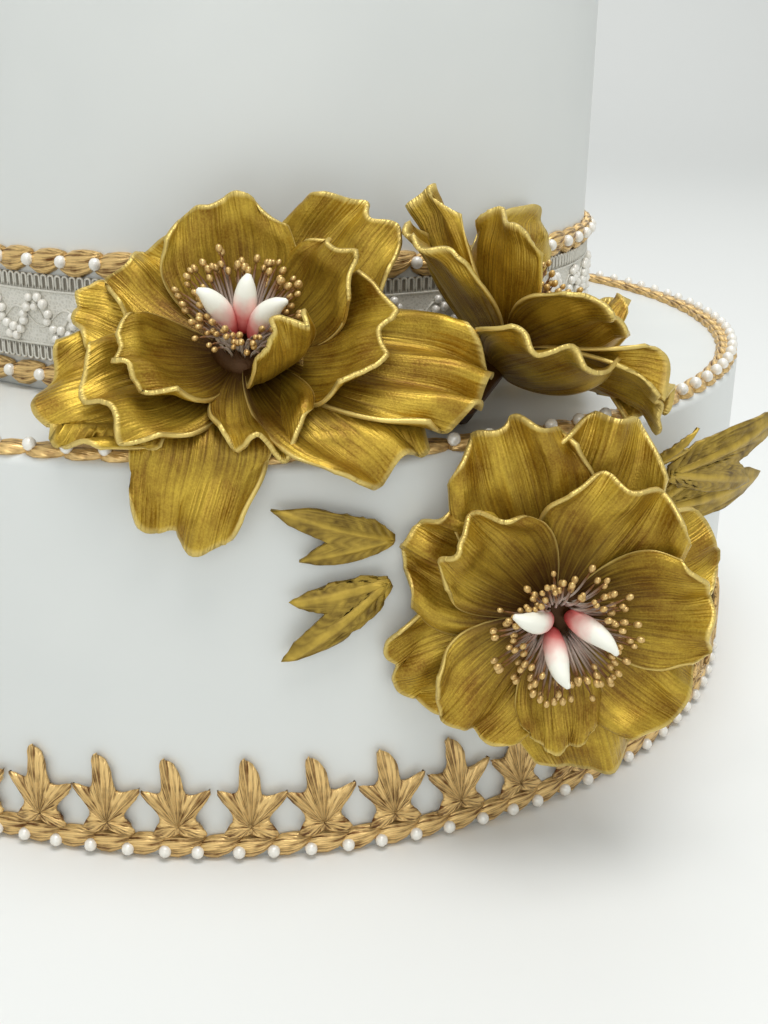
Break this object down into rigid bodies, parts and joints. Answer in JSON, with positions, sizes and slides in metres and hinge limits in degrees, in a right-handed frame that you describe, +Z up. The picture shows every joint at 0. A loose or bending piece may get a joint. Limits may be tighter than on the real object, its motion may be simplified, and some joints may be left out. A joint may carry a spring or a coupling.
{
  "type": "wedding cake",
  "caption": "Two-tier white fondant wedding cake with antique gold braids, sugar pearls, an ivy border, a lace ribbon and large gold sugar flowers cascading down its front",
  "frame": {"origin": "On the axis of both tiers, in the flat underside of the lower tier", "axes": "+Z up the axis of the tiers, -Y out of the front where the flowers are, +X to the right as seen from the front"},
  "size_m": [0.318, 0.3371, 0.2324],
  "materials": {
    "fondant": "satin white rolled fondant",
    "lace": "silver-grey sugar lace",
    "antique_gold": "antique gold lustred sugar paste",
    "stamen": "cream threads with gold heads",
    "ivory": "ivory flower paste tinted pink at the root",
    "gold": "gold lustre on flower paste"
  },
  "bodies": {
    "root": {"lower_tier": "fondant", "upper_tier": "fondant", "lace_band": "lace", "base_braid": "antique_gold", "rim_braid": "antique_gold", "lace_foot_braid": "antique_gold", "lace_head_braid": "antique_gold", "top_braid": "antique_gold", "ivy_border": "antique_gold", "flower_left": "gold", "flower_right": "gold", "flower_lower": "gold", "stamens_left": "stamen", "stamens_right": "stamen", "stamens_lower": "stamen", "carpel_left_1": "ivory", "carpel_left_2": "ivory", "carpel_left_3": "ivory", "carpel_lower_1": "ivory", "carpel_lower_2": "ivory", "carpel_lower_3": "ivory", "gold_leaf_1": "gold", "gold_leaf_2": "gold", "gold_leaf_3": "gold", "gold_leaf_4": "gold", "gold_leaf_5": "gold"}
  },
  "joints": []
}
